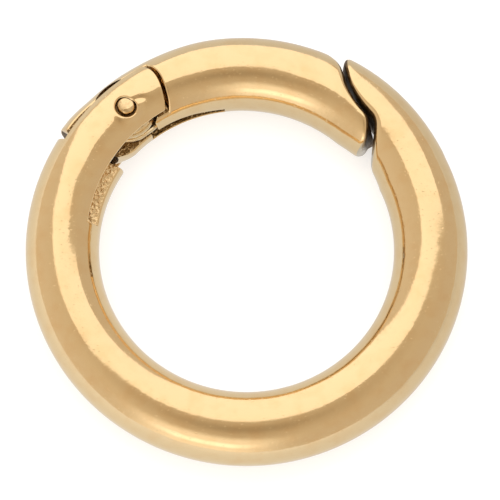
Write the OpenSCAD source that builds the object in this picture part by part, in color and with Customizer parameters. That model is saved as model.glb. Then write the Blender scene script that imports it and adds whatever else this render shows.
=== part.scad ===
// Round spring gate ring: a ring of thick round wire with a sprung gate hinged in it.
// The ring lies flat, with +X to the right, +Y towards the gate and +Z up.
// The origin is at the ring's centre, on the surface that it lies on.
// Heights with "level" in their name are counted from the middle of the wire.

/* [Ring] */
// Outside diameter of the ring
ring_od = 24; // [23.5:0.1:25]
// Diameter of the round wire
wire_d = 4; // [3.9:0.05:4.1]

/* [Hinge] */
// Place of the hinge pin round the ring, counted from +X
pin_angle = 131; // [130:0.5:132]
// Diameter of the pin's shank
shank_d = 0.8; // [0.7:0.05:0.85]
// Diameter of the pin's domed heads
head_d = 0.98; // [0.9:0.02:1.04]
// Thickness of the gate's tongue, which turns between the ring's two ears
tongue_t = 2.44; // [2.36:0.02:2.5]
// Clearance between the tongue and each ear
ear_gap = 0.1; // [0.08:0.01:0.14]
// Reach of the ears from the pin, towards the gate
ear_reach = 2.15; // [2.1:0.01:2.18]
// Reach of the gate's tail from the pin, behind the hinge
tail_reach = 2.6; // [2.5:0.05:2.7]

/* [Gate mouth] */
// Radius of the hollow in the gate's tip that takes the ring's nose
tip_cut_r = 5.88; // [5.84:0.01:5.92]
// Clearance between the gate's tip and the ring's nose
mouth_gap = 0.38; // [0.3:0.01:0.4]
// Lean of the gate's toe, counted from Y
toe_lean = 19; // [18:0.5:21]
// Lean of the ring's heel, which faces the toe
heel_lean = 8; // [6:0.5:10]

/* [Spring] */
// Diameter of the spring's wire
spring_wire_d = 0.25; // [0.2:0.01:0.26]
// Diameter of the coil, from wire centre to wire centre
coil_d = 3.3; // [3.26:0.01:3.32]

/* [Hidden] */
$fn = 96;
gold = [0.87, 0.70, 0.44];
dark_gold = [0.62, 0.45, 0.24];

wire_r = wire_d / 2;
ring_r = (ring_od - wire_d) / 2; // from the ring's centre to the middle of its wire
scale_r = ring_r / 10;           // places in plan follow the size of the ring
beyond = ring_od;                // reaches past everything
pin_at = ring_r * dir(pin_angle);

// Levels of the hinge's faces
tongue_level = tongue_t / 2;
ear_level = tongue_level + ear_gap;
head_seat_level = wire_r - 0.42;
head_top_level = wire_r - 0.05;
head_lift = 0.02;
spring_floor_level = 0.45;
kerf_floor_level = 0.73;

// Where faces end round the ring
ear_end_angle = pin_angle - 12;
shoulder_angle = ear_end_angle - 1.15;
kerf_end_angle = 172;
recess_start_angle = 124.5;
groove_start_angle = 97;
groove_end_angle = 127.5;

// Radii about the pin
core_reach = tail_reach + 0.3;
shoulder_reach = ear_reach + 0.2;
shank_r = shank_d / 2;
head_r = head_d / 2;
head_well_r = head_r + 0.11;
ear_bore_r = shank_r + 0.01;
gate_bore_r = shank_r + 0.05;
boss_r = 1.45;
coil_well_r = 1.9;

// Radii about the ring's centre, to the backs of the inner recesses
kerf_back_r = 0.95 * ring_r;
recess_back_r = 0.93 * ring_r;
groove_half_width = 0.54;

// Faces across the hinge are square outside this radius, and round about the pin inside it
square_r = ring_r * cos(pin_angle - ear_end_angle);

// The mouth: one round cut shared by tip and nose, then the toe and the heel below it
cut_at = scale_r * [10.8, 10.9];
nose_cut_r = tip_cut_r - mouth_gap;
toe_at = scale_r * [6.7, 6.45];
heel_at = scale_r * [7.06, 6.8];
wall_top = 0.9 * ring_r; // both walls run up into the round cut, to this far along Y

// The gate's arc lies a hair inside the ring's at the tip and outside it at the tail
gate_at = [-0.22, -0.06];

// The wire of the ring runs on under the mouth's cut to here
nose_end_angle = 70;

function dir(a) = [cos(a), sin(a)];

// The angle round the ring at which its middle line lies a given reach behind the pin
function behind_pin(reach) = pin_angle + 2 * asin(reach / (2 * ring_r));

// A point on a wall through a given point, leaning from Y, at height y in plan
function on_wall(at, lean, y) = [at[0] + (y - at[1]) * tan(lean), y];

// A stretch of round wire bent to radius r
module bent_wire(r, from, to)
    rotate([0, 0, from])
        rotate_extrude(angle = to - from)
            translate([r, 0])
                circle(r = wire_r);

// A plan outline given depth between two levels
module layer(low, high)
    translate([0, 0, low])
        linear_extrude(height = high - low)
            children();

// The plan of a slice of the ring between two angles
module slice_plan(from, to)
    polygon([[0, 0], beyond * dir(from), beyond * dir((from + to) / 2), beyond * dir(to)]);

module about_pin()
    translate(pin_at)
        children();

// The ring's opening in plan, from the ears' rounded ends to the nose
module mouth_plan()
    difference() {
        union() {
            polygon([
                [0, 0],
                on_wall(heel_at, heel_lean, 0),
                on_wall(heel_at, heel_lean, wall_top),
                [on_wall(heel_at, heel_lean, wall_top)[0], beyond],
                beyond * dir(ear_end_angle)
            ]);
            intersection() {
                circle(r = square_r);
                slice_plan(ear_end_angle - 5, pin_angle);
            }
        }
        translate(cut_at) circle(r = nose_cut_r);
        about_pin() circle(r = ear_reach);
    }

// What a hinge face leaves behind it: round about the pin inside, square across outside
module behind_hinge_plan(reach)
    union() {
        about_pin() circle(r = reach);
        difference() {
            slice_plan(ear_end_angle - 2, behind_pin(reach));
            circle(r = ring_r);
        }
    }

// The pocket beside the ring's core that the spring's long leg lies in
module kerf_plan()
    intersection() {
        circle(r = kerf_back_r);
        slice_plan(pin_angle, kerf_end_angle);
    }

module pin_bores()
    union() {
        about_pin() cylinder(r = ear_bore_r, h = 3 * wire_d, center = true);
        about_pin() translate([0, 0, head_seat_level]) cylinder(r = head_well_r, h = wire_d);
        about_pin() mirror([0, 0, 1]) translate([0, 0, head_seat_level])
            cylinder(r = head_well_r, h = wire_d);
    }

module ring_body()
    color(gold)
        translate([0, 0, wire_r])
            difference() {
                bent_wire(ring_r, pin_angle - 20, 360 + nose_end_angle);
                layer(-wire_d, wire_d) mouth_plan();
                layer(-ear_level, ear_level) behind_hinge_plan(core_reach);
                layer(kerf_floor_level, ear_level) kerf_plan();
                pin_bores();
            }

// Everything on the gate's side of the mouth
module tip_plan()
    difference() {
        polygon([
            [-beyond, 0],
            on_wall(toe_at, toe_lean, 0),
            on_wall(toe_at, toe_lean, wall_top),
            [on_wall(toe_at, toe_lean, wall_top)[0], beyond],
            [-beyond, beyond]
        ]);
        translate(cut_at) circle(r = tip_cut_r);
    }

// The ears' room, cut from the gate above and below its tongue
module ear_room_plan()
    union() {
        about_pin() circle(r = shoulder_reach);
        slice_plan(pin_angle, 180);
        difference() {
            slice_plan(shoulder_angle, pin_angle);
            circle(r = square_r);
        }
    }

// The coil's well round the boss, open to the inside of the ring
module coil_well_plan()
    difference() {
        union() {
            about_pin() circle(r = coil_well_r);
            intersection() {
                circle(r = recess_back_r);
                slice_plan(recess_start_angle, 160);
            }
        }
        about_pin() circle(r = boss_r);
    }

// The groove along the inside of the gate for the spring's short leg
module groove_plan()
    intersection() {
        circle(r = recess_back_r);
        slice_plan(groove_start_angle, groove_end_angle);
    }

module gate()
    color(gold)
        translate([0, 0, wire_r])
            difference() {
                intersection() {
                    translate(gate_at) bent_wire(ring_r, 30, 155);
                    union() {
                        layer(-wire_d, wire_d)
                            difference() {
                                tip_plan();
                                ear_room_plan();
                            }
                        layer(-tongue_level, tongue_level)
                            union() {
                                difference() {
                                    tip_plan();
                                    slice_plan(pin_angle, 180);
                                }
                                intersection() {
                                    behind_hinge_plan(tail_reach);
                                    slice_plan(pin_angle - 2, 180);
                                }
                            }
                    }
                }
                layer(spring_floor_level, wire_d / 2) coil_well_plan();
                layer(-groove_half_width, groove_half_width) groove_plan();
                about_pin() cylinder(r = gate_bore_r, h = wire_d, center = true);
            }

// A domed rivet head on its seat
module rivet_head() {
    dome_r = 1.2 * head_d;
    intersection() {
        translate([0, 0, head_seat_level + head_lift]) cylinder(r = head_r, h = wire_r);
        translate([0, 0, head_top_level - dome_r]) sphere(r = dome_r);
    }
}

module hinge_pin()
    color(dark_gold)
        translate([0, 0, wire_r])
            about_pin()
                union() {
                    cylinder(r = shank_r, h = 2 * head_seat_level + head_r, center = true);
                    rivet_head();
                    mirror([0, 0, 1]) rivet_head();
                }

// The spring's route. The short leg lies in the gate's groove and runs down to the coil,
// which winds clockwise round the boss, and the long leg leaves it for the ring's pocket.
coil_r = coil_d / 2;
coil_start = 315;
coil_end = -92;
coil_low = 0.61;
coil_high = 1.14;
coil_steps = 28;

short_leg = [
    for (a = [102, 105, 108, 111, 114]) concat(0.885 * ring_r * dir(a), 0.15),
    concat(0.88 * ring_r * dir(118), 0.2),
    concat(0.87 * ring_r * dir(121), 0.28),
    concat(0.86 * ring_r * dir(123.5), 0.38),
    concat(0.85 * ring_r * dir(125.5), 0.5),
    concat(0.84 * ring_r * dir(127.5), 0.59)
];
coil = [
    for (i = [0:coil_steps])
        let (s = i / coil_steps, a = coil_start + s * (coil_end - coil_start))
            concat(pin_at + coil_r * dir(a), coil_low + s * (coil_high - coil_low))
];
long_leg = [
    for (a = [142, 146, 150, 154, 158, 162, 166]) concat(0.9 * ring_r * dir(a), 1.12)
];

function unit(v) = v / norm(v);
function heading(p, i) = unit(p[min(i + 1, len(p) - 1)] - p[max(i - 1, 0)]);

// A round wire with eight sides swept along a route
module swept_wire(route, d) {
    sides = 8;
    last = len(route) - 1;
    rings = [
        for (i = [0:last])
            let (
                along = heading(route, i),
                across = unit(cross([0, 0, 1], along)),
                up = cross(along, across)
            )
                for (k = [0:sides - 1])
                    route[i] + d / 2 * (cos(k * 45) * across + sin(k * 45) * up)
    ];
    walls = [
        for (i = [0:last - 1], k = [0:sides - 1])
            [
                i * sides + k,
                i * sides + (k + 1) % sides,
                (i + 1) * sides + (k + 1) % sides,
                (i + 1) * sides + k
            ]
    ];
    near_end = [for (k = [sides - 1:-1:0]) k];
    far_end = [for (k = [0:sides - 1]) last * sides + k];
    polyhedron(points = rings, faces = concat(walls, [near_end, far_end]), convexity = 6);
}

module spring()
    color(dark_gold)
        translate([0, 0, wire_r])
            swept_wire(concat(short_leg, coil, long_leg), spring_wire_d);

ring_body();
gate();
hinge_pin();
spring();
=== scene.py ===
import math

import bpy
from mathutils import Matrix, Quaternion, Vector


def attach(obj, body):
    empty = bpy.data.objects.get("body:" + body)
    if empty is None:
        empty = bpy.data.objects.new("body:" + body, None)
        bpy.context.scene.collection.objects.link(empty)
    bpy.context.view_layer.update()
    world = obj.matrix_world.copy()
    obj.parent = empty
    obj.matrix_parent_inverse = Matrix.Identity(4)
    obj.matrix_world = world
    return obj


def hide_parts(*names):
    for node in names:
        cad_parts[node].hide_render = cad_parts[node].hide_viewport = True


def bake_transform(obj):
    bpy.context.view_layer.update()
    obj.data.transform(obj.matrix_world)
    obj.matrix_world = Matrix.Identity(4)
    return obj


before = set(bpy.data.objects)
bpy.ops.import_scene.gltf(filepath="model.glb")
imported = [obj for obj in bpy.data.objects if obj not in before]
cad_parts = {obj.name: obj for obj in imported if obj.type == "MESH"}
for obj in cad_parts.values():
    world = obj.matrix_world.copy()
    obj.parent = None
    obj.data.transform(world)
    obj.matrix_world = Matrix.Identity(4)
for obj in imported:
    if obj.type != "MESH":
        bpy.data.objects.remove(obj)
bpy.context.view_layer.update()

# Camera: 15 degrees off straight above, far enough away that the ring looks almost flat
CAMERA_ELEVATION = 75
CAMERA_DISTANCE = 0.29
VIEW_WIDTH = 0.02715
SENSOR_WIDTH = 36
AIM = Vector((0.000185, -0.0000225, 0.002))

# Studio. Angles from the zenith count towards the far side of the table.
LIGHT_DISTANCE = 0.6
SOFTBOX_TILT = 45
SOFTBOX_TURN = 5
SOFTBOX_SIZE = (0.9, 1.03)
SOFTBOX_SHIFT = (-0.04, -0.085)
SOFTBOX_LEVEL = 0.62
SOFTBOX_ROLL = 16
FILL_SIZE = (1.2, 1.2)
FILL_LEVEL = 1.0
# The lamp grows between these two shares of a direction that points to the front, and fades
# between these two shares that point sideways
LAMP_TURN = -15
LAMP_LEVEL = 0.42
LAMP_FRONT = (0.58, 0.8)
LAMP_SIDE = (0.15, 0.58)
# Its brighter tube lies level, between a bottom and a top that fade in and out
TUBE_LEVEL = 0.45
TUBE_BOTTOM = (0.2, 0.32)
TUBE_TOP = (0.41, 0.52)
TUBE_SIDE = (0.1, 0.4)
TUBE_FRONT = (0, 0.2)
# Stops of the walls' colour by the share of a direction that points to the camera:
# place, level, green and blue
WALL_STOPS = (
    (0.0, 0.72, 0.88, 0.74),
    (0.5, 0.70, 0.87, 0.72),
    (0.82, 0.69, 0.86, 0.68),
    (0.906, 0.65, 0.85, 0.66),
    (0.966, 0.59, 0.83, 0.62),
    (0.99, 0.50, 0.82, 0.6),
    (1.0, 0.44, 0.82, 0.6),
)
# The walls' light changes by these shares to the right, to the back and upwards
WALL_GAIN = (-0.09, -0.02, 0)
TABLE_SIZE = 6
TABLE_ROUGHNESS = 0.9
TABLE_GREY = 0.5
TABLE_GLOW = 0.6
# The table that the ring mirrors glows between these levels, brightest on this side of the ring
MIRRORED_GREY = 0.1
MIRRORED_GLOW = (0.54, 0.8)
MIRRORED_BRIGHT_SIDE = (-0.73, -0.68, 0)
MIRRORED_FADE = 0.025
MIRRORED_BELOW = 0.00002

GOLD = (0.87, 0.66, 0.38)
REDDISH_GOLD = (0.85, 0.61, 0.33)
PALE_GOLD = (0.86, 0.72, 0.48)
# Grime on the rivet heads and in the ring's grain, and the lighter tone of the painted shade on the
# sawn walls
SOILED_AND_SHADED_GOLD = (0.44, 0.29, 0.13)
# Painted shade in the gate's recess behind the hinge
RECESS_SHADE_GOLD = (0.2, 0.115, 0.04)
# Painted shade: the near-black of the narrow gaps at the mouth and round the hinge
GAP_SHADE_GOLD = (0.06, 0.03, 0.012)
# A paler metal that the mouth's walls turn to where their painted shade gives way
PALE_WALL_METAL = (0.66, 0.57, 0.43)
# The painted shade on the mouth's walls gives way to a paler, smoother metal between these distances
# from the ring's middle, and these distances to the right
PALE_WALL_R = (9.1, 8.4)
PALE_WALL_RIGHT = (2, 4)

# Sizes in millimetres, heights from the middle of the wire, angles in degrees round the ring
WIRE_R = 2.0
RING_R = 10.0
SECTION_SIDES = 96
SIDE_TURN = 360 / SECTION_SIDES
PIN_ANGLE = 131
GATE_AT = Vector((-0.22, -0.06))
# Places closer than SLACK count as the same, and places further than APART as different. NEAR is
# half the way between two corners of the wire's section.
SLACK = 0.01
NEAR = 0.05
APART = 0.1
SAME_ANGLE = 0.05

# Heights of the hinge's faces
EAR_LEVEL = 1.32
TONGUE_LEVEL = 1.25
KERF_FLOOR = 0.75
RECESS_FLOOR = 0.5
KERF_BACK = 9.5
RECESS_BACK = 9.35
# The ears' inner edges are trimmed back to this distance from the ring's middle
EAR_TRIM = RING_R - WIRE_R * math.cos(math.radians(48.75))

# Angles of the hinge's ends, before they are rounded off about the pin
KERF_END = 172
CORE_END = 147.67
WELL_END = 136
WELL_START = 126
EAR_END = 119
GROOVE_START = 97
GROOVE_END = 127.5
LIP_END = 124.5
SHOULDER = 117.5
TAIL_END = 145.5

# The mouth. Its walls lean by this many degrees round the ring for each millimetre of depth.
MOUTH_LEAN = 1.1
LEAN_FROM = 1.3
# What the lean loses: how much of it, from which distance and over how far. Inside it fades, and
# outside it turns to the other side.
LEAN_INSIDE = (1, 9.9, -0.9)
LEAN_OUTSIDE = (1.2, 10.4, 0.8)
CUT_AT = Vector((10.8, 10.9))
TIP_CUT_R = 5.69
NOSE_CUT_R = 5.52
TOE_AT = Vector((6.6, 6.2))
TOE_LEAN = 9
TOE_ROUND = 0.8
HEEL_AT = Vector((7.0, 6.8))
HEEL_LEAN = 7
HEEL_ROUND = 0.8
# Both ends of the cut curve away from the gap: after this length, and this much per square. The
# heel's wall stays straight.
TIP_CURVE = (2.9, 0.42)
NOSE_CURVE = (3.1, 0.2)
TOE_CURVE = (0.3, 0.8)
HEEL_CURVE = (1.2, 0)
# The cut is followed in steps of CUT_STEP, and its rim in RIM_STEPS. Its corner gets more of the
# section's corners than the rest, from CORNER_MARGIN before it to as much behind it.
CUT_STEP = 0.1
RIM_STEPS = 600
CORNER_CROWD = 2.2
CORNER_MARGIN = 0.2

# The wire near the mouth: how much it swells or gets slimmer, from which angle and over how many
NOSE_SWELL = (0.13, 15, 42)
HEEL_SLIM = (0.12, 24, 12)
TOE_SLIM = (0.25, 50, -11)
# The ends are drawn out of plain ones, from the first of these angles to the second
NOSE_DRAWN = (25, 50)
TIP_DRAWN = (88, 63)
DRAWN_STEPS = 12
DRAWN_SHARES = (0.001, 1.2)
LAST_STEP = 0.84
FAN_SMOOTHING = 6
FAN_START = 0.3
FAN_REACH = 1.2
# The cap has two loops, this far apart on the plain end, and this far in from the rim when drawn
CAP_INSET = 0.4
CAP_BETWEEN_LOOPS_R = WIRE_R - 1.5 * CAP_INSET
CAP_OFFSETS = (0.5, 0.9)
NOSE_ROUNDING = 0.38
TIP_ROUNDING = 0.3

# Round the pin: how far the parts reach, and how wide the shoulder's gap is
EAR_REACH = 2.15
# How much further the ears reach, from which distance and over how far
EAR_FLARE = (0.5, 9.2, 2.6)
SHOULDER_GAP = 0.2
SHOULDER_SPREAD = 11
TAIL_REACH = 2.76
TAIL_ROUND = 0.5
TAIL_SPREAD_FROM = 136
CORE_REACH = 3.16
# The angles between which the ends before the pin and behind it are looked for
BEFORE_PIN = (100, 129)
BEHIND_PIN = (133, 160)
# How much the gate's outside is pulled in, from which angle and over how many, and then let go
OUTSIDE_PULL = (0.12, 98, 22)
LET_GO = (1, 134, 9)
HINGE_ZONE = (95, 175)
HINGE_ROUNDING = 0.07
SHARP_TURN = 40
PIN_ZONE_R = 1.2
OUTSIDE_R = RING_R + 1

WELL_RIM_R = 0.7
WELL_STEPS = ((0.655, 0.01), (0.61, 0.04), (0.585, 0.09), (0.575, 0.2))
WELL_FLOOR = 1.58
WELL_HALF_WIDTH_TURN = 67.5
SKIN_OVER_PIN = 1.5
EAR_BORE_R = 0.42
EAR_BORE = (1.1, 1.8)
GATE_BORE_R = 0.45
COIL_WELL_R = 1.76
BOSS_R = 1.1
COIL_WELL_FLOOR = 0.503

# The swell of the well's rim: height, radius, width, and how far its zone reaches
RIM_SWELL = 0.035
RIM_SWELL_R = 0.72
RIM_SWELL_WIDTH = 0.17
RIM_ZONE = (0.6, 1.6)
RIM_DIVIDED_TO = 1.7
# The rim's burr is highest towards this side of the pin, and the dent lies on the other
BURR_TURN = -50
BURR_SIDE = 0.9
LIP_TURN = 65
LIP_SPREAD = 42
LIP_REACH = 0.15
LIP_FADE = 0.4
DENT_AT = Vector((0.55, 0.42))
DENT_TURN = 5
DENT_LENGTH = 0.45
DENT_WIDTH = 0.17
DENT_DEPTH = 0.09

GROOVE_TOP = 0.12
GROOVE_WIDENS_OVER = 21
# Where the casting shows: this deep below the wire's skin, but not on the outside, the boss's
# top, the ears' shoulder or the tail's skin
GRAIN_DEPTH = 0.13
SHOWN_OUTSIDE_R = RING_R + 1.2
BOSS_TOP = (1.2, 1.4)
ACROSS_SLOPE = 0.45
SHOULDER_ZONE = (110, 123)
TAIL_SKIN_R = 9.4
TAIL_SKIN_SLOPE = 0.9
TAIL_SKIN_RISE = 0.5

PIN_SIDES = 48
BORE_SIDES = 64
HEAD_SHIFT = Vector((0.012, 0.055))
# Radius and height of each step of the rivet, from its shank to the top of its head
PIN_STEPS = ((0.4, 1.6), (0.47, 1.62), (0.49, 1.66), (0.49, 1.74), (0.475, 1.8), (0.445, 1.85),
             (0.39, 1.893), (0.32, 1.925), (0.23, 1.945), (0.12, 1.955))

SPRING_WIRE = 0.27
# The coil narrows from its first turn to its last, and rises from this height by this much
COIL_R = (1.59, 1.29)
COIL_RISE = (0.645, 0.51)
COIL_START = 315
COIL_SWEEP = 770
COIL_STEPS = 48
# The spring's legs, as angle, distance and height
SHORT_LEG = ((102, 8.9, 0.1), (107, 8.9, 0.1), (112, 8.88, 0.12), (116, 8.84, 0.16),
             (119, 8.76, 0.22), (121.5, 8.66, 0.3), (124, 8.52, 0.42), (126, 8.45, 0.56),
             (128, 8.4, 0.63))
LONG_LEG = ((141, 8.93, 1.14), (144, 8.98, 1.12), (148, 9.0, 1.1), (154, 9.0, 1.08),
            (160, 9.0, 1.06), (166, 9.0, 1.05))
# In metres, because the finished piece is
SMOOTH_TURN = 35

# Places in a piece's list of materials
CAST = 1
# The sawn walls' material, painted dark as shade
SHADED_SAWN = 2


def toward(tilt, turn):
    """The direction that leans from the zenith to the far side by tilt, then swings by turn."""
    lean, swing = math.radians(tilt), math.radians(turn)
    flat = math.sin(lean)
    return Vector((-flat * math.sin(swing), flat * math.cos(swing), math.cos(lean)))


def add_camera():
    tilt = math.radians(CAMERA_ELEVATION)
    back = Vector((0, -math.cos(tilt), math.sin(tilt)))
    bpy.ops.object.camera_add(location=AIM + CAMERA_DISTANCE * back,
                              rotation=(math.pi / 2 - tilt, 0, 0))
    camera = bpy.context.object
    camera.data.sensor_width = SENSOR_WIDTH
    camera.data.lens = SENSOR_WIDTH * CAMERA_DISTANCE / VIEW_WIDTH
    camera.data.clip_start = 0.01
    camera.data.clip_end = 20
    bpy.context.scene.camera = camera


def node_beside(socket, kind):
    return socket.id_data.nodes.new(kind)


def feed(socket, value):
    """Gives an input a number or a colour, or links it to another node's output."""
    if isinstance(value, tuple):
        socket.default_value = (*value, 1)
    elif isinstance(value, (int, float)):
        socket.default_value = value
    else:
        socket.id_data.links.new(value, socket)


def maths(operation, first, second=None):
    """The result of one operation on a node's output, and a number or another output."""
    node = node_beside(first, "ShaderNodeMath")
    node.operation = operation
    feed(node.inputs[0], first)
    if second is not None:
        feed(node.inputs[1], second)
    return node.outputs[0]


def times(first, second):
    return maths("MULTIPLY", first, second)


def clouds(places, size, detail=2.0):
    """Soft spots of about this size in millimetres, from 0 to 1."""
    noise = node_beside(places, "ShaderNodeTexNoise")
    feed(noise.inputs["Scale"], 1000 / size)
    feed(noise.inputs["Detail"], detail)
    feed(noise.inputs["Vector"], places)
    return noise.outputs["Fac"]


def pebbles(places, size):
    """Hollows and ridges of about this size in millimetres, from 0 to 1."""
    cells = node_beside(places, "ShaderNodeTexVoronoi")
    feed(cells.inputs["Scale"], 1000 / size)
    feed(cells.inputs["Vector"], places)
    return cells.outputs["Distance"]


def spread(value, low, high, new_low, new_high, kind="LINEAR"):
    """Stretches the values between low and high to a new range."""
    node = node_beside(value, "ShaderNodeMapRange")
    node.interpolation_type = kind
    limits = {"From Min": low, "From Max": high, "To Min": new_low, "To Max": new_high}
    for name, limit in limits.items():
        feed(node.inputs[name], limit)
    feed(node.inputs["Value"], value)
    return node.outputs["Result"]


def eased(value, low, high, new_high=1):
    """Rises smoothly from 0 at low to new_high at high."""
    return spread(value, low, high, 0, new_high, "SMOOTHSTEP")


def faded(value, low, high):
    """Falls smoothly from 1 at low to 0 at high."""
    return spread(value, low, high, 1, 0, "SMOOTHSTEP")


def between(share, first, second):
    """A colour between two others."""
    node = node_beside(share, "ShaderNodeMix")
    node.data_type = "RGBA"
    feed(node.inputs["A"], first)
    feed(node.inputs["B"], second)
    feed(node.inputs["Factor"], share)
    return node.outputs["Result"]


def bump(shader, height, depth):
    """Raises the surface by this depth in millimetres where the height is 1."""
    node = node_beside(height, "ShaderNodeBump")
    feed(node.inputs["Distance"], depth / 1000)
    feed(node.inputs["Height"], height)
    feed(shader.inputs["Normal"], node.outputs[0])


def share_toward(direction, heading):
    """How far a direction points along a heading, from -1 to 1."""
    node = node_beside(direction, "ShaderNodeVectorMath")
    node.operation = "DOT_PRODUCT"
    node.inputs[1].default_value = heading
    feed(node.inputs[0], direction)
    return node.outputs["Value"]


def new_metal(name):
    """A metal material, its shader, and the places in a piece's mesh as coordinates."""
    material = bpy.data.materials.new(name)
    material.use_nodes = True
    nodes = material.node_tree.nodes
    shader = nodes["Principled BSDF"]
    feed(shader.inputs["Metallic"], 1)
    return material, shader, nodes.new("ShaderNodeTexCoord").outputs["Object"]


def polished_gold():
    """Mirror polish over a slightly wavy casting, with a few pits and duller patches."""
    material, shader, places = new_metal("polished gold")
    spots = spread(clouds(places, 0.9, 3), 0.45, 0.75, 0, 1)
    feed(shader.inputs["Base Color"], between(spots, GOLD, REDDISH_GOLD))
    feed(shader.inputs["Roughness"], spread(clouds(places, 2.2, 4), 0.3, 0.75, 0.06, 0.17))
    waves = clouds(places, 3.4, 1)
    ripples = spread(clouds(places, 0.45, 2), 0, 1, 0, 0.1)
    pits = spread(clouds(places, 0.11, 0), 0.745, 0.84, 0, -0.08)
    bump(shader, maths("ADD", maths("ADD", waves, ripples), pits), 0.05)
    return material


def cast_gold(name, patch_and_shade_colour, lump_size, gold_band):
    """The grain of the casting, which no polishing wheel reaches. Its cloud patches take a darker
    colour, which in the gate's recess is painted shade, and the last argument is the band of the
    clouds over which it turns to gold."""
    material, shader, places = new_metal(name)
    cloud_patches = spread(clouds(places, 0.13, 3), *gold_band, 0, 1)
    feed(shader.inputs["Base Color"], between(cloud_patches, patch_and_shade_colour, GOLD))
    feed(shader.inputs["Roughness"], spread(clouds(places, 0.15), 0.3, 0.7, 0.2, 0.4))
    crumbs = spread(clouds(places, 0.08, 3), 0, 1, 0, 0.4)
    bump(shader, maths("ADD", pebbles(places, lump_size), crumbs), lump_size / 3)
    return material


def mouth_gold():
    """The mouth's walls, and the hinge's walls across the wire, are left as sawn and painted
    near-black and brown as shade. Towards the ring's middle the painted shade gives way to a paler,
    smoother metal."""
    material, shader, places = new_metal("sawn gold with painted shade")
    cloud_patches = spread(clouds(places, 0.22, 4), 0.35, 0.75, 0.15, 0.7)
    # Painted shade for the sawn walls: near-black to brown in cloudy patches
    dark = between(cloud_patches, GAP_SHADE_GOLD, SOILED_AND_SHADED_GOLD)
    split = node_beside(places, "ShaderNodeSeparateXYZ")
    feed(split.inputs[0], places)
    right, back = (times(split.outputs[i], 1000) for i in (0, 1))
    off_middle = maths("SQRT", maths("ADD", times(right, right), times(back, back)))
    # Where the painted shade gives way to a paler, smoother metal
    pale_share = times(eased(off_middle, *PALE_WALL_R), eased(right, *PALE_WALL_RIGHT))
    feed(shader.inputs["Base Color"], between(pale_share, dark, PALE_WALL_METAL))
    rough = spread(clouds(places, 0.2), 0.3, 0.7, 0.35, 0.6)
    feed(shader.inputs["Roughness"], times(rough, spread(pale_share, 0, 1, 1, 0.3)))
    bump(shader, clouds(places, 0.15, 3), 0.03)
    return material


def hammered_gold():
    """Rivet heads keep the flats of the hammer."""
    material, shader, places = new_metal("hammered gold")
    cloud_patches = spread(clouds(places, 0.45, 2), 0.5, 0.7, 0, 0.6)
    feed(shader.inputs["Base Color"], between(cloud_patches, GOLD, SOILED_AND_SHADED_GOLD))
    feed(shader.inputs["Roughness"], spread(clouds(places, 0.3), 0.3, 0.7, 0.12, 0.3))
    bump(shader, pebbles(places, 0.55), 0.12)
    return material


def spring_gold():
    """Drawn wire, plated, with the marks of the die."""
    material, shader, places = new_metal("spring gold")
    spots = spread(clouds(places, 0.3, 3), 0.4, 0.7, 0, 1)
    feed(shader.inputs["Base Color"], between(spots, PALE_GOLD, GOLD))
    feed(shader.inputs["Roughness"], spread(clouds(places, 0.2), 0.3, 0.7, 0.2, 0.36))
    bump(shader, clouds(places, 0.12, 2), 0.01)
    return material


def add_panel(name, tilt, turn, size, level, shift=(0, 0), roll=0):
    """A flat light of even brightness that faces the ring."""
    out = toward(tilt, turn)
    turned_to_ring = out.to_track_quat("Z", "Y") @ Quaternion((0, 0, 1), math.radians(roll))
    place = LIGHT_DISTANCE * out + turned_to_ring @ Vector((*shift, 0))
    bpy.ops.object.light_add(type="AREA", location=place, rotation=turned_to_ring.to_euler())
    panel = bpy.context.object
    panel.name = name
    panel.data.shape = "RECTANGLE"
    panel.data.size, panel.data.size_y = size
    panel.data.energy = level * math.pi * size[0] * size[1]
    return panel


def build_studio():
    """Beige walls that are darker round the camera and lighter to the left, with a soft lamp low
    in front, and a softbox behind the ring."""
    world = bpy.data.worlds.new("studio walls")
    bpy.context.scene.world = world
    world.use_nodes = True
    nodes = world.node_tree.nodes
    direction = nodes.new("ShaderNodeTexCoord").outputs["Generated"]
    wall = nodes.new("ShaderNodeValToRGB")
    for _ in WALL_STOPS[2:]:
        wall.color_ramp.elements.new(0.5)
    for element, (place, level, green, blue) in zip(wall.color_ramp.elements, WALL_STOPS):
        element.position = place
        element.color = (level, level * green, level * blue, 1)
    feed(wall.inputs[0], share_toward(direction, toward(CAMERA_ELEVATION - 90, 0)))

    front = share_toward(direction, toward(-90, LAMP_TURN))
    side = maths("ABSOLUTE", share_toward(direction, toward(-90, LAMP_TURN + 90)))
    rise = share_toward(direction, (0, 0, 1))
    lamp = times(eased(front, *LAMP_FRONT, LAMP_LEVEL), faded(side, *LAMP_SIDE))
    tube = times(eased(front, *TUBE_FRONT, TUBE_LEVEL), faded(side, *TUBE_SIDE))
    tube = times(tube, times(eased(rise, *TUBE_BOTTOM), faded(rise, *TUBE_TOP)))
    both = nodes.new("ShaderNodeMix")
    both.data_type = "RGBA"
    both.blend_type = "ADD"
    feed(both.inputs["Factor"], 1)
    feed(both.inputs["A"], wall.outputs[0])
    feed(both.inputs["B"], maths("ADD", lamp, tube))
    feed(nodes["Background"].inputs["Color"], both.outputs["Result"])
    strength = maths("ADD", share_toward(direction, WALL_GAIN), 1)
    feed(nodes["Background"].inputs["Strength"], strength)
    add_panel("softbox", SOFTBOX_TILT, SOFTBOX_TURN, SOFTBOX_SIZE, SOFTBOX_LEVEL, SOFTBOX_SHIFT,
              SOFTBOX_ROLL)
    fill = add_panel("fill", 0, 0, FILL_SIZE, FILL_LEVEL)
    fill.visible_glossy = False


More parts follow.
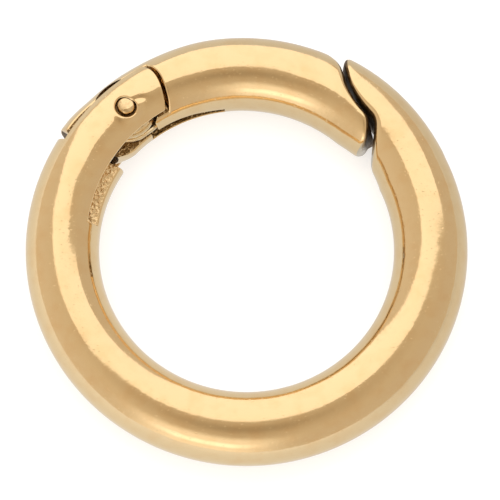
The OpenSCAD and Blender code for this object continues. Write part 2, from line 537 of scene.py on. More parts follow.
def add_table(name, height, grey):
    """A plain matt table, and the input for its glow, which makes it come out nearly white."""
    bpy.ops.mesh.primitive_plane_add(size=TABLE_SIZE, location=(0, 0, height))
    table = bpy.context.object
    table.name = name
    material = bpy.data.materials.new(name)
    material.use_nodes = True
    shader = material.node_tree.nodes["Principled BSDF"]
    feed(shader.inputs["Base Color"], (grey, grey, grey))
    feed(shader.inputs["Roughness"], TABLE_ROUGHNESS)
    feed(shader.inputs["Emission Color"], (1, 1, 1))
    table.data.materials.append(material)
    return table, shader.inputs["Emission Strength"]


def add_tables():
    """The table, and the one that the ring mirrors, which is brighter to the left and in front."""
    table, glow = add_table("table", 0, TABLE_GREY)
    feed(glow, TABLE_GLOW)
    table.visible_glossy = False
    mirrored, glow = add_table("table_in_reflections", -MIRRORED_BELOW, MIRRORED_GREY)
    places = node_beside(glow, "ShaderNodeTexCoord").outputs["Object"]
    ahead = share_toward(places, MIRRORED_BRIGHT_SIDE)
    feed(glow, spread(ahead, -MIRRORED_FADE, MIRRORED_FADE, *MIRRORED_GLOW))
    mirrored.visible_camera = False
    mirrored.visible_diffuse = False
    mirrored.visible_shadow = False


def around(angle, radius=1.0):
    """The point at this angle and distance from the ring's middle."""
    turn = math.radians(angle)
    return Vector((radius * math.cos(turn), radius * math.sin(turn)))


def angle_of(point):
    return math.degrees(math.atan2(point.y, point.x)) % 360


def turn_between(angle, other):
    """From the other angle to this one, the short way round."""
    return (angle - other + 180) % 360 - 180


def turned(point, angle):
    """The same point at another angle round the ring."""
    return Vector((*around(angle, point.xy.length), point.z))


PIN_AT = around(PIN_ANGLE, RING_R)


def off_pin(point):
    return (point.xy - PIN_AT).length


def root(f, low, high):
    """The place between low and high where f changes its sign."""
    rising = f(high) > 0
    for _ in range(50):
        middle = (low + high) / 2
        if (f(middle) > 0) == rising:
            high = middle
        else:
            low = middle
    return (low + high) / 2


def leave(f, step):
    """The first place from 0 on, in steps of this size and sign, where f changes its sign."""
    place = 0
    while (f(place + step) > 0) == (f(0) > 0):
        place += step
    return root(f, place, place + step)


def ease(share):
    share = min(max(share, 0), 1)
    return share * share * (3 - 2 * share)


def hill(off, width):
    """1 in the middle, falling softly to the sides."""
    return math.exp(-(off / width) ** 2)


def pick_nothing():
    bpy.ops.object.select_all(action="DESELECT")


def work_on(piece, kind="FACE"):
    """Makes one piece the active one, with nothing in it selected."""
    pick_nothing()
    piece.select_set(True)
    bpy.context.view_layer.objects.active = piece
    bpy.context.tool_settings.mesh_select_mode = (kind == "VERT", kind == "EDGE", kind == "FACE")
    mesh = piece.data
    for items in (mesh.vertices, mesh.edges, mesh.polygons):
        items.foreach_set("select", [False] * len(items))


def edit(piece, kind):
    """Opens one piece for editing, with nothing in it selected."""
    work_on(piece, kind)
    bpy.ops.object.mode_set(mode="EDIT")


def stop_editing():
    bpy.ops.object.mode_set(mode="OBJECT")


def pick_faces(piece, wanted):
    """Opens a piece with the faces selected for which wanted(centre, normal) holds."""
    work_on(piece)
    for face in piece.data.polygons:
        if wanted(face.center, face.normal):
            face.select = True
    bpy.ops.object.mode_set(mode="EDIT")


def pick_edges(piece, wanted):
    """Opens a piece with the edges selected for which wanted(one end, other end) holds."""
    work_on(piece, "EDGE")
    points = piece.data.vertices
    for edge in piece.data.edges:
        a, b = edge.vertices
        if wanted(points[a].co, points[b].co):
            edge.select = points[a].select = points[b].select = True
    bpy.ops.object.mode_set(mode="EDIT")


def pick_open_edges(piece, loose):
    """Opens a piece with the edges of its holes selected, and its loose edges too if asked."""
    edit(piece, "EDGE")
    bpy.ops.mesh.select_non_manifold(extend=False, use_wire=loose, use_multi_face=False,
                                     use_non_contiguous=False, use_verts=False)


def merge_points(distance):
    bpy.ops.mesh.select_all(action="SELECT")
    bpy.ops.mesh.remove_doubles(threshold=distance)


def everywhere(distance, height):
    return True


def picked_points(piece):
    return [vertex for vertex in piece.data.vertices if vertex.select]


def wire_section(name, angle, level, floor, back, more_cuts=()):
    """A disc across the wire, split into zones at this level above and below the middle, and at
    the floor and the back of the room for the coil. A cut is a point, a normal and a test for the
    faces that it splits."""
    pick_nothing()
    bpy.ops.mesh.primitive_circle_add(vertices=SECTION_SIDES, radius=WIRE_R, fill_type="NGON",
                                      location=(RING_R, 0, 0), rotation=(math.pi / 2, 0, 0))
    section = bpy.context.object
    section.name = section.data.name = name
    bpy.ops.object.transform_apply(location=True, rotation=True, scale=True)
    for height in (level, floor):
        for corner in section.data.vertices:
            if abs(abs(corner.co.z) - height) < NEAR:
                side = math.sqrt(WIRE_R ** 2 - height ** 2)
                corner.co.x = RING_R + math.copysign(side, corner.co.x - RING_R)
                corner.co.z = math.copysign(height, corner.co.z)
    cuts = (
        ((0, 0, level), (0, 0, 1), lambda centre, normal: True),
        ((0, 0, -level), (0, 0, 1), lambda centre, normal: centre.z < level),
        ((0, 0, floor), (0, 0, 1), lambda centre, normal: abs(centre.z) < level),
        ((back, 0, 0), (1, 0, 0), lambda centre, normal: floor < centre.z < level),
    )
    for point, normal, wanted in cuts + more_cuts:
        pick_faces(section, wanted)
        bpy.ops.mesh.bisect(plane_co=point, plane_no=normal)
        stop_editing()
    section.rotation_euler.z = math.radians(angle)
    bpy.ops.object.transform_apply(location=True, rotation=True, scale=True)
    return section


def spin_on(piece, angle, wanted, legs):
    """Carries the end faces at this angle on round the ring, through legs of (angle, steps)."""
    along = around(angle + 90)

    def at_the_end(centre, normal):
        return (abs(turn_between(angle_of(centre), angle)) < SAME_ANGLE
                and abs(normal.xy.dot(along)) > 0.9 and wanted(centre.xy.length, centre.z))

    pick_faces(piece, at_the_end)
    reached = angle
    for stop, steps in legs:
        bpy.ops.mesh.spin(steps=steps, angle=-math.radians(stop - reached), center=(0, 0, 0),
                          axis=(0, 0, 1))
        reached = stop
    stop_editing()


def cut_line(circle_at, circle_r, wall_at, lean, corner_r, side, outer_curve, inner_curve):
    """The mouth's cut in plan, as a function of the length along it from the start of its corner,
    and the corner's length. Side is 1 for the ring's nose and -1 for the gate's tip."""
    down = -Vector((math.sin(math.radians(lean)), math.cos(math.radians(lean))))
    out = Vector((-down.y, down.x))
    base = wall_at - corner_r * out - circle_at
    reach = base.dot(down) ** 2 - base.length_squared + (circle_r + corner_r) ** 2
    corner_at = wall_at - corner_r * out - (base.dot(down) - math.sqrt(reach)) * down
    start_turn = math.atan2(*(corner_at - circle_at).yx)
    corner_turn = math.atan2(*(circle_at - corner_at).yx)
    corner_length = corner_r * (corner_turn + math.radians(lean))

    def point(length):
        if length < 0:
            turn = start_turn + length / circle_r
            curve = outer_curve[1] * max(-length - outer_curve[0], 0) ** 2
            return circle_at + (circle_r - side * curve) * Vector((math.cos(turn), math.sin(turn)))
        if length < corner_length:
            turn = corner_turn - length / corner_r
            return corner_at + corner_r * Vector((math.cos(turn), math.sin(turn)))
        on_wall = corner_at + corner_r * out + (length - corner_length) * down
        curve = inner_curve[1] * max((on_wall - wall_at).dot(down) - inner_curve[0], 0) ** 2
        return on_wall + side * curve * out

    return point, corner_length


def eased_from(place, amount, start, over):
    """Grows to this amount from the start, over so many degrees or millimetres."""
    return amount * ease((place - start) / over)


def wire_at(angle, turn, swell, slim):
    """A point of the wire's skin, at an angle round the ring and a turn about the wire. The wire
    swells outwards, and is slimmer inside."""
    side, height = math.cos(math.radians(turn)), math.sin(math.radians(turn))
    radius = WIRE_R - slim * max(-side, 0) ** 2
    return Vector((*around(angle, RING_R + swell + radius * side), radius * height))


def toe_wire(angle, turn):
    return wire_at(angle, turn, 0, eased_from(angle, *TOE_SLIM))


def nose_wire(angle, turn):
    return wire_at(angle, turn, eased_from(angle, *NOSE_SWELL), eased_from(angle, *HEEL_SLIM))


def rim_of(wire, cut, corner_length):
    """The edge between the wire and the mouth's cut, as one (length, height, angle, turn) for each
    corner of the section's upper half, from the outside in."""

    def gap(length, turn):
        at = cut(length)
        return at.length - wire(angle_of(at), turn).xy.length

    outer = leave(lambda length: gap(length, 0), -CUT_STEP)
    inner = leave(lambda length: gap(length, 180), CUT_STEP)
    fine = []
    for i in range(RIM_STEPS + 1):
        length = outer + (inner - outer) * (1 - math.cos(math.pi * i / RIM_STEPS)) / 2
        at = cut(length)
        if i in (0, RIM_STEPS):
            turn = 180 * (i / RIM_STEPS)
        else:
            turn = root(lambda t: gap(length, t), 0, 180)
        fine.append((length, wire(angle_of(at), turn).z, angle_of(at), turn))
    travelled = [0]
    for before, after in zip(fine, fine[1:]):
        step = math.hypot(after[0] - before[0], after[1] - before[1])
        in_corner = -CORNER_MARGIN < before[0] < corner_length + CORNER_MARGIN
        travelled.append(travelled[-1] + step * (CORNER_CROWD if in_corner else 1))
    half = SECTION_SIDES // 2
    rim, place = [], 0
    for corner in range(half + 1):
        goal = travelled[-1] * corner / half
        while place < RIM_STEPS - 1 and travelled[place + 1] < goal:
            place += 1
        share = (goal - travelled[place]) / (travelled[place + 1] - travelled[place])
        share = min(max(share, 0), 1)
        rim.append(tuple(a + share * (b - a) for a, b in zip(fine[place], fine[place + 1])))
    return rim


def lean_share(distance):
    return 1 - eased_from(distance, *LEAN_INSIDE) - eased_from(distance, *LEAN_OUTSIDE)


def fan_of(rim, wire, metal_side):
    """How far round the ring and about the wire each of the wire's rows runs back from the rim, in
    degrees for each millimetre. Metal_side is 1 where the metal lies at the larger angles."""
    edge = [wire(angle, turn) for _, _, angle, turn in rim]
    below = Vector((1, 1, -1))
    whole = [edge[1] * below, *edge, edge[-2] * below]
    fan = []
    for corner, (before, after) in enumerate(zip(whole, whole[2:])):
        _, _, angle, turn = rim[corner]
        run = (after - before).normalized()
        east = Vector((*around(angle + 90), 0))
        up = Vector((*around(angle, -math.sin(math.radians(turn))), math.cos(math.radians(turn))))
        back = metal_side * run.cross(east.cross(up)).normalized()
        fan.append((math.degrees(back.dot(east) / edge[corner].xy.length),
                    math.degrees(back.dot(up) / WIRE_R)))
    for _ in range(FAN_SMOOTHING):
        wide = [(fan[1][0], -fan[1][1]), *fan, (fan[-2][0], -fan[-2][1])]
        fan = [tuple((a + 2 * b + c) / 4 for a, b, c in zip(*three))
               for three in zip(wide, wide[1:], wide[2:])]
    return fan


def cap_rows(rim):
    """The directions in which the cap's rows run in from the rim, along the cut and up."""
    rows = [(1.0, 0.0)]
    for low, high in zip(rim, rim[2:]):
        rows.append(tuple(Vector((high[1] - low[1], low[0] - high[0])).normalized()))
    return rows + [(-1.0, 0.0)]


def draw_out_end(piece, wire, line, start, stop):
    """Gives the plain end between two angles its real shape: the wire's rows fan out to meet the
    mouth's edge squarely, and the cap follows the cut."""
    cut = line[0]
    rim = rim_of(wire, *line)
    fan = fan_of(rim, wire, 1 if start > stop else -1)
    rows = cap_rows(rim)
    for vertex in piece.data.vertices:
        share = (angle_of(vertex.co.xy) - start) / (stop - start)
        if not DRAWN_SHARES[0] < share < DRAWN_SHARES[1]:
            continue
        side = vertex.co.xy.length - RING_R
        radius = math.hypot(side, vertex.co.z)
        turn = math.degrees(math.atan2(abs(vertex.co.z), side))
        corner = round(turn / SIDE_TURN)
        length, height, angle, rim_turn = rim[corner]
        if radius < WIRE_R - SLACK:
            grown = 1
            offset = CAP_OFFSETS[0] if radius > CAP_BETWEEN_LOOPS_R else CAP_OFFSETS[1]
            along, up = rows[corner]
            place = Vector((*cut(length + offset * along), height + offset * up))
        else:
            grown = ease(share)
            step = round(share * DRAWN_STEPS)
            u = 1 if step == DRAWN_STEPS else LAST_STEP * step / (DRAWN_STEPS - 1)
            back, about = fan[corner]
            bends = ((start, turn), (start + (stop - start) * FAN_START, turn),
                     (angle + FAN_REACH * back, rim_turn + FAN_REACH * about), (angle, rim_turn))
            weights = ((1 - u) ** 3, 3 * u * (1 - u) ** 2, 3 * u * u * (1 - u), u ** 3)
            place = wire(*(sum(w * bend[i] for w, bend in zip(weights, bends)) for i in (0, 1)))
        if vertex.co.z < -SLACK:
            place.z = -place.z
        lean = MOUTH_LEAN * (place.z - LEAN_FROM) * grown * lean_share(place.xy.length)
        vertex.co = turned(place, angle_of(place.xy) + lean)


def grow_mouth_end(piece, wire, line, start, stop, rounding):
    """Runs the wire on to a plain end, lays the loops of its cap, gives both their real shape
    and rounds the edge between them."""
    spin_on(piece, start, everywhere, ((stop, DRAWN_STEPS),))
    inner_r = WIRE_R - 2 * CAP_INSET
    skin_r = WIRE_R - APART

    def at_the_end(point, radius=WIRE_R):
        return (abs(turn_between(angle_of(point.xy), stop)) < SAME_ANGLE
                and math.hypot(point.xy.length - RING_R, point.z) < radius + SLACK)

    pick_faces(piece, lambda centre, normal: at_the_end(centre))
    if sum(face.select for face in piece.data.polygons) > 1:
        bpy.ops.mesh.dissolve_faces()
    bpy.ops.mesh.inset(thickness=CAP_INSET, depth=0)
    bpy.ops.mesh.inset(thickness=CAP_INSET, depth=0)
    bpy.ops.mesh.delete(type="ONLY_FACE")
    stop_editing()

    def in_the_hole(a, b):
        return at_the_end(a, inner_r) and at_the_end(b, inner_r)

    pick_edges(piece, lambda a, b: in_the_hole(a, b) and min(abs(a.z), abs(b.z)) > SLACK)
    bpy.ops.mesh.bridge_edge_loops()
    stop_editing()
    pick_edges(piece, in_the_hole)
    bpy.ops.mesh.fill_holes(sides=3)
    stop_editing()

    points = piece.data.vertices
    # The cap's faces take the sawn walls' material, which is painted dark as shade
    for face in piece.data.polygons:
        if at_the_end(face.center, skin_r) and all(at_the_end(points[v].co) for v in face.vertices):
            face.material_index = SHADED_SAWN
    rim_edges = [edge.index for edge in piece.data.edges
                 if all(at_the_end(points[v].co) and not at_the_end(points[v].co, skin_r)
                        for v in edge.vertices)]
    draw_out_end(piece, wire, line, start, stop)
    work_on(piece, "EDGE")
    for index in rim_edges:
        piece.data.edges[index].select = True
    bpy.ops.object.mode_set(mode="EDIT")
    bpy.ops.mesh.bevel(offset=rounding, segments=5, affect="EDGES")
    stop_editing()


def behind_pin(point):
    """How far a point lies from the pin: straight inside the wire's middle line, and along the
    middle line outside it."""
    if point.length < RING_R:
        return off_pin(point)
    return 2 * RING_R * math.sin(math.radians(abs(angle_of(point) - PIN_ANGLE) / 2))


def past_ears(point):
    """How far a point lies outside the ears' round ends."""
    return off_pin(point) - (EAR_REACH + eased_from(point.length, *EAR_FLARE))


def round_off_ears(ring):
    """Ears end round about the pin, the core behind the gate's tail hollow about it."""
    for vertex in ring.data.vertices:
        angle, distance, height = angle_of(vertex.co.xy), vertex.co.xy.length, abs(vertex.co.z)

        def placed(t):
            return around(t, distance)

        if EAR_END - 1 < angle < WELL_START and height > EAR_LEVEL - SLACK:
            end = root(lambda t: past_ears(placed(t)), *BEFORE_PIN)
            share = (WELL_START - angle) / (WELL_START - EAR_END)
            vertex.co = turned(vertex.co, WELL_START + share * (end - WELL_START))
        elif WELL_END < angle < KERF_END and height < EAR_LEVEL + SLACK:
            end = root(lambda t: behind_pin(placed(t)) - CORE_REACH, *BEHIND_PIN)
            if angle < CORE_END + SLACK:
                share = (angle - WELL_END) / (CORE_END - WELL_END)
            else:
                share = (KERF_END - angle) / (KERF_END - CORE_END)
            vertex.co = turned(vertex.co, angle + share * (end - CORE_END))


def round_off_hinge_end(piece):
    """The gate's shoulder faces the ears and its tail faces the core, each round about the pin."""
    for vertex in piece.data.vertices:
        angle, distance = angle_of(vertex.co.xy), vertex.co.xy.length

        def placed(t):
            return around(t, distance) + GATE_AT

        if SHOULDER - SHOULDER_SPREAD < angle < LIP_END:
            end = root(lambda t: past_ears(placed(t)) - SHOULDER_GAP, *BEFORE_PIN)
            if angle < SHOULDER + SLACK:
                share = ease((angle - SHOULDER + SHOULDER_SPREAD) / SHOULDER_SPREAD)
            else:
                share = (LIP_END - angle) / (LIP_END - SHOULDER)
            vertex.co = turned(vertex.co, angle + share * (end - SHOULDER))
        elif angle > TAIL_SPREAD_FROM:
            end = root(lambda t: behind_pin(placed(t)) - TAIL_REACH, *BEHIND_PIN)
            share = (angle - TAIL_SPREAD_FROM) / (TAIL_END - TAIL_SPREAD_FROM)
            vertex.co = turned(vertex.co, angle + share * (end - TAIL_END))
            inward = max(RING_R - distance, 0) / WIRE_R
            vertex.co.xy *= 1 + TAIL_ROUND * share ** 2 * inward / distance
        if distance > RING_R:
            pull = eased_from(angle, *OUTSIDE_PULL) * (1 - eased_from(angle, *LET_GO))
            outward = (distance - RING_R) / WIRE_R
            vertex.co.xy *= 1 - pull * outward / distance


def sink_pin_well(ring, side):
    """A round well for a rivet head in one ear, with a rounded rim. Side is 1 above, -1 below."""
    half_width = WIRE_R * math.cos(math.radians(WELL_HALF_WIDTH_TURN))

    def over_the_pin(centre, normal):
        return (centre.z * side > SKIN_OVER_PIN and abs(centre.xy.length - RING_R) < half_width
                and WELL_START < angle_of(centre.xy) < WELL_END)

    pick_faces(ring, over_the_pin)
    count = sum(face.select for face in ring.data.polygons)
    bpy.ops.mesh.delete(type="FACE")
    stop_editing()
    across = round(2 * (90 - WELL_HALF_WIDTH_TURN) / SIDE_TURN)
    sides = 2 * (across + count // across)
    edit(ring, "EDGE")
    bpy.ops.mesh.primitive_circle_add(vertices=sides, radius=WELL_RIM_R,
                                      location=(*PIN_AT, side * WIRE_R))
    stop_editing()
    for vertex in list(ring.data.vertices)[-sides:]:
        off = vertex.co.xy.length - RING_R
        vertex.co.z = side * math.sqrt(WIRE_R ** 2 - off ** 2)
    pick_open_edges(ring, True)
    bpy.ops.mesh.bridge_edge_loops()
    stop_editing()
    radius, depth = WELL_RIM_R, 0
    for new_radius, new_depth in WELL_STEPS:
        def on_rim(point):
            return side * point.z > 1 and abs(off_pin(point) - radius) < SLACK / 5

        pick_edges(ring, lambda a, b: on_rim(a) and on_rim(b))
        down = (0, 0, side * (depth - new_depth))
        bpy.ops.mesh.extrude_edges_move(TRANSFORM_OT_translate={"value": down})
        stop_editing()
        for vertex in picked_points(ring):
            vertex.co.xy = PIN_AT + new_radius / radius * (vertex.co.xy - PIN_AT)
        radius, depth = new_radius, new_depth
    for vertex in picked_points(ring):
        vertex.co.z = side * WELL_FLOOR
    pick_open_edges(ring, False)
    bpy.ops.mesh.edge_face_add()
    stop_editing()


def raise_rim(ring, side):
    """Riveting has left a swell round the well, higher on one side, a lip pushed over the rivet's
    head, and a dent across that lip."""

    def round_the_well(centre, normal):
        return (WELL_RIM_R < off_pin(centre) < RIM_DIVIDED_TO and side * centre.z > WELL_FLOOR
                and abs(normal.z) > 0.3)

    pick_faces(ring, round_the_well)
    bpy.ops.mesh.subdivide(number_cuts=2)
    stop_editing()
    burr, along_dent, across_dent = around(BURR_TURN), around(DENT_TURN), around(DENT_TURN + 90)
    for vertex in ring.data.vertices:
        off = vertex.co.xy - PIN_AT
        distance = off.length
        on_skin = side * vertex.co.z > WELL_FLOOR + NEAR
        if not on_skin or not RIM_ZONE[0] < distance < RIM_ZONE[1]:
            continue
        if distance > WELL_RIM_R - SLACK:
            vertex.co.z = side * math.sqrt(WIRE_R ** 2 - (vertex.co.xy.length - RING_R) ** 2)
        swell = RIM_SWELL * (1 + BURR_SIDE * burr.dot(off) / distance)
        swell *= hill(distance - RIM_SWELL_R, RIM_SWELL_WIDTH)
        from_dent = off - DENT_AT
        dent = DENT_DEPTH * hill(from_dent.dot(along_dent), DENT_LENGTH)
        dent *= hill(from_dent.dot(across_dent), DENT_WIDTH)
        vertex.co.z += side * (swell - dent)
        lip = LIP_REACH * hill(turn_between(angle_of(off), LIP_TURN), LIP_SPREAD)
        lip *= 1 - ease((distance - RIM_ZONE[0]) / LIP_FADE)
        vertex.co.xy -= lip * off.normalized()


def cut_away(piece, cutter):
    cut = piece.modifiers.new("cut", "BOOLEAN")
    cut.operation = "DIFFERENCE"
    cut.object = cutter
    work_on(piece)
    bpy.ops.object.modifier_apply(modifier="cut")
    bpy.data.objects.remove(cutter)


def pin_cylinder(radius, low, high):
    pick_nothing()
    bpy.ops.mesh.primitive_cylinder_add(vertices=BORE_SIDES, radius=radius, depth=high - low,
                                        location=(*PIN_AT, (low + high) / 2))
    return bpy.context.object


def soften_hinge_edges(piece, spare_outside):
    """Rounds the sharp edges round the hinge, but not those at the pin, nor on the ring those that
    run level along its outside."""
    edit(piece, "EDGE")
    bpy.ops.mesh.edges_select_sharp(sharpness=math.radians(SHARP_TURN))
    stop_editing()
    points = piece.data.vertices
    for edge in piece.data.edges:
        a, b = (points[v].co for v in edge.vertices)
        by_the_hinge = all(HINGE_ZONE[0] < angle_of(p.xy) < HINGE_ZONE[1] for p in (a, b))
        by_the_pin = all(off_pin(p) < PIN_ZONE_R for p in (a, b))
        level = abs(a.z - b.z) < SLACK and abs(a.xy.length - b.xy.length) < 5 * SLACK
        spared = spare_outside and level and all(p.xy.length > OUTSIDE_R for p in (a, b))
        if edge.select and (not by_the_hinge or by_the_pin or spared):
            edge.select = False
    for vertex in points:
        vertex.select = False
    bpy.ops.object.mode_set(mode="EDIT")
    bpy.ops.mesh.bevel(offset=HINGE_ROUNDING, segments=3, affect="EDGES")
    stop_editing()


def leave_grain_inside(piece, middle=Vector((0, 0))):
    """Faces round the hinge that lie below the wire's skin keep their cast grain, painted darker as
    shade on the gate, and those across the wire, facing the gaps between the parts, get painted
    shade. The boss's top is polished, and so is all that faces out."""
    for face in piece.data.polygons:
        place = face.center.xy - middle
        angle, distance, height = angle_of(place), place.length, abs(face.center.z)
        to_pin = off_pin(face.center)
        slope = abs(face.normal.xy.dot(around(angle + 90)))
        across = slope > ACROSS_SLOPE or to_pin < WELL_RIM_R
        below = math.hypot(distance - RING_R, height) < WIRE_R - GRAIN_DEPTH
        boss = to_pin < BOSS_R and BOSS_TOP[0] < height < BOSS_TOP[1]
        shoulder = (across and to_pin > EAR_REACH + NEAR
                    and SHOULDER_ZONE[0] < angle < SHOULDER_ZONE[1])
        tail_skin = (slope < TAIL_SKIN_SLOPE and face.normal.z < TAIL_SKIN_RISE
                     and distance < TAIL_SKIN_R and angle > TAIL_SPREAD_FROM)
        polished = distance > SHOWN_OUTSIDE_R or boss or shoulder or tail_skin
        if below and HINGE_ZONE[0] < angle < HINGE_ZONE[1] and not polished:
            # Faces across the wire face the gaps between the parts and get painted shade
            face.material_index = SHADED_SAWN if across else CAST


def ring_body():
    """The ring from its nose round to the ears, with the kerf and the core between them."""
    trim = ((EAR_TRIM, 0, 0), (1, 0, 0), lambda centre, normal: abs(centre.z) > EAR_LEVEL)
    ring = wire_section("ring_body_finish", KERF_END, EAR_LEVEL, KERF_FLOOR, KERF_BACK, (trim,))

    def in_an_ear(distance, height):
        return abs(height) > EAR_LEVEL and distance > EAR_TRIM

    def beside_kerf(distance, height):
        in_the_kerf = KERF_FLOOR < height < EAR_LEVEL and distance < KERF_BACK
        return not in_the_kerf and (abs(height) < EAR_LEVEL or distance > EAR_TRIM)

    spin_on(ring, KERF_END, everywhere, ((180, 6), (360, 120), (360 + NOSE_DRAWN[0], 17)))
    spin_on(ring, KERF_END, beside_kerf, ((CORE_END, 20),))
    spin_on(ring, CORE_END, in_an_ear, ((WELL_END, 10), (WELL_START, 10), (EAR_END, 7)))
    line = cut_line(CUT_AT, NOSE_CUT_R, HEEL_AT, HEEL_LEAN, HEEL_ROUND, 1, NOSE_CURVE, HEEL_CURVE)
    grow_mouth_end(ring, nose_wire, line, *NOSE_DRAWN, NOSE_ROUNDING)
    round_off_ears(ring)
    soften_hinge_edges(ring, True)
    for side in (1, -1):
        sink_pin_well(ring, side)
        raise_rim(ring, side)
    low, high = EAR_BORE
    cut_away(ring, pin_cylinder(EAR_BORE_R, low, high))
    cut_away(ring, pin_cylinder(EAR_BORE_R, -high, -low))
    leave_grain_inside(ring)
    return ring


def sink_groove(piece):
    """The groove along the gate's inside for the spring's short leg."""

    def along_the_inside(centre, normal):
        return (abs(centre.z) < RECESS_FLOOR and centre.xy.length < 9
                and GROOVE_START < angle_of(centre.xy) < GROOVE_END)

    pick_faces(piece, along_the_inside)
    bpy.ops.mesh.extrude_region()
    stop_editing()
    for vertex in picked_points(piece):
        vertex.co.xy *= RECESS_BACK / vertex.co.xy.length
    piece.data.update()
    edit(piece, "VERT")
    merge_points(0.004)
    stop_editing()

    for vertex in piece.data.vertices:
        angle, distance = angle_of(vertex.co.xy), vertex.co.xy.length
        if (GROOVE_START - APART < angle < LIP_END - APART and distance < RECESS_BACK + SLACK
                and abs(vertex.co.z) < RECESS_FLOOR + SLACK / 2):
            widened = ease((angle - GROOVE_START) / GROOVE_WIDENS_OVER)
            top = GROOVE_TOP + (RECESS_FLOOR - GROOVE_TOP) * widened
            share = (vertex.co.z + RECESS_FLOOR) / (2 * RECESS_FLOOR)
            vertex.co.z = share * (top + RECESS_FLOOR) - RECESS_FLOOR
            if distance < RECESS_BACK - APART:
                vertex.co.xy *= (RING_R - math.sqrt(WIRE_R ** 2 - vertex.co.z ** 2)) / distance

    def doubled(centre, normal):
        return (abs(centre.z - RECESS_FLOOR) < SLACK / 2 and centre.xy.length < RECESS_BACK
                and LIP_END < angle_of(centre.xy) < GROOVE_END)

    pick_faces(piece, doubled)
    bpy.ops.mesh.delete(type="FACE")
    stop_editing()


def gate():
    """The sprung arc from its tip round to its shoulder, with the tongue and the tail."""
    piece = wire_section("gate_finish", SHOULDER, TONGUE_LEVEL, RECESS_FLOOR, RECESS_BACK)

    def in_the_tongue(distance, height):
        return abs(height) < TONGUE_LEVEL

    def in_the_tail(distance, height):
        return abs(height) < TONGUE_LEVEL and not (height > RECESS_FLOOR and distance < RECESS_BACK)

    spin_on(piece, SHOULDER, everywhere, ((GROOVE_START, 20), (TIP_DRAWN[0], 9)))
    spin_on(piece, SHOULDER, in_the_tongue, ((LIP_END, 7),))
    spin_on(piece, LIP_END, in_the_tail, ((GROOVE_END, 3), (TAIL_END, 18)))
    line = cut_line(CUT_AT - GATE_AT, TIP_CUT_R, TOE_AT - GATE_AT, TOE_LEAN, TOE_ROUND, -1, TIP_CURVE,
                    TOE_CURVE)
    grow_mouth_end(piece, toe_wire, line, *TIP_DRAWN, TIP_ROUNDING)
    sink_groove(piece)
    round_off_hinge_end(piece)
    soften_hinge_edges(piece, False)
    piece.location = (*GATE_AT, 0)
    work_on(piece)
    bpy.ops.object.transform_apply(location=True)
    coil_well = pin_cylinder(COIL_WELL_R, COIL_WELL_FLOOR, WIRE_R)
    cut_away(coil_well, pin_cylinder(BOSS_R, 0, WIRE_R + 0.5))
    cut_away(piece, coil_well)
    cut_away(piece, pin_cylinder(GATE_BORE_R, -WIRE_R, WIRE_R))
    leave_grain_inside(piece, GATE_AT)
    return piece


def hinge_pin():
    """The rivet: a plain shank with a domed head at each end."""
    shank_r, shank_end = PIN_STEPS[0]
    pick_nothing()
    bpy.ops.mesh.primitive_cylinder_add(vertices=PIN_SIDES, radius=shank_r, depth=2 * shank_end,
                                        location=(*PIN_AT, 0))
    pin = bpy.context.object
    pin.name = pin.data.name = "hinge_pin_finish"
    bpy.ops.object.transform_apply(location=True)
    for side in (1, -1):
        pick_faces(pin, lambda centre, normal: normal.z * side > 0.9 and centre.z * side > 1)
        for radius, height in PIN_STEPS[1:]:
            bpy.ops.mesh.extrude_region()
            stop_editing()
            for vertex in picked_points(pin):
                vertex.co.xy = PIN_AT + radius * (vertex.co.xy - PIN_AT).normalized()
                vertex.co.z = side * height
            pin.data.update()
            bpy.ops.object.mode_set(mode="EDIT")
        stop_editing()
    for vertex in pin.data.vertices:
        if abs(vertex.co.z) > shank_end + SLACK / 10:
            vertex.co.xy += HEAD_SHIFT
    return pin


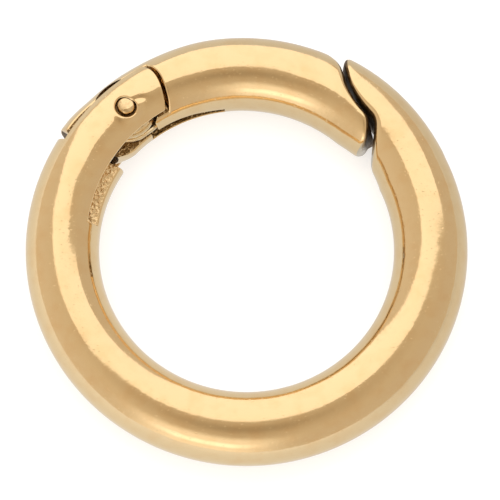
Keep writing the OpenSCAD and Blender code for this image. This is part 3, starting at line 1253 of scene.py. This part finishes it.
def spring():
    """A round wire: the short leg in the gate's groove, the coil, and the long leg in the ring."""
    route = [(*around(angle, distance), height) for angle, distance, height in SHORT_LEG]
    for i in range(COIL_STEPS + 1):
        share = i / COIL_STEPS
        radius = COIL_R[0] + share * (COIL_R[1] - COIL_R[0])
        at = PIN_AT + around(COIL_START - COIL_SWEEP * share, radius)
        route.append((*at, COIL_RISE[0] + COIL_RISE[1] * share))
    route += [(*around(angle, distance), height) for angle, distance, height in LONG_LEG]
    pick_nothing()
    bpy.ops.curve.primitive_nurbs_path_add()
    wire = bpy.context.object
    wire.name = "spring_finish"
    wire.data.splines.clear()
    spline = wire.data.splines.new("POLY")
    spline.points.add(len(route) - 1)
    for point, place in zip(spline.points, route):
        point.co = (*place, 1)
    wire.data.dimensions = "3D"
    wire.data.bevel_depth = SPRING_WIRE / 2
    wire.data.bevel_resolution = 3
    wire.data.use_fill_caps = True
    bpy.ops.object.convert(target="MESH")
    wire.data.name = "spring_finish"
    edit(wire, "VERT")
    merge_points(0.0001)
    bpy.ops.mesh.normals_make_consistent(inside=False)
    stop_editing()
    return wire


def finish_piece(piece, materials, body, slot, *nodes):
    """Turns millimetres into metres, lays the piece on the table, hangs it under its body if it has
    one and hides the parts that it stands for.
    """
    work_on(piece)
    piece.scale = (0.001, 0.001, 0.001)
    piece.location = (0, 0, WIRE_R / 1000)
    bpy.ops.object.transform_apply(location=True, rotation=True, scale=True)
    bpy.ops.object.shade_smooth_by_angle(angle=math.radians(SMOOTH_TURN))
    for material in materials:
        piece.data.materials.append(material)
    if body:
        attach(piece, body)
    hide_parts(*nodes)


def finish_spring(coil):
    """The spring is finished as one piece with no body, and its place is baked into its mesh."""
    finish_piece(coil, [wire_gold], None, "spring_gold", "spring")
    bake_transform(coil)


add_camera()
gold = polished_gold()
bright_grain = cast_gold("cast gold", SOILED_AND_SHADED_GOLD, 0.24, (0.22, 0.44))
# The gate's recess is painted darker as shade, over its grain
shaded_grain = cast_gold("cast gold in painted shade", RECESS_SHADE_GOLD, 0.12, (0.52, 0.7))
shaded_sawn_gold = mouth_gold()
head_gold = hammered_gold()
wire_gold = spring_gold()
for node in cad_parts.values():
    node.data.materials.clear()
    node.data.materials.append(gold)
finish_piece(ring_body(), [gold, bright_grain, shaded_sawn_gold], "ring", "polished_gold", "ring_body")
finish_piece(gate(), [gold, shaded_grain, shaded_sawn_gold], "gate", "polished_gold", "gate")
finish_piece(hinge_pin(), [head_gold], "ring", "pin_gold", "hinge_pin")
finish_spring(spring())
build_studio()
add_tables()
bpy.context.scene.view_settings.view_transform = "Standard"
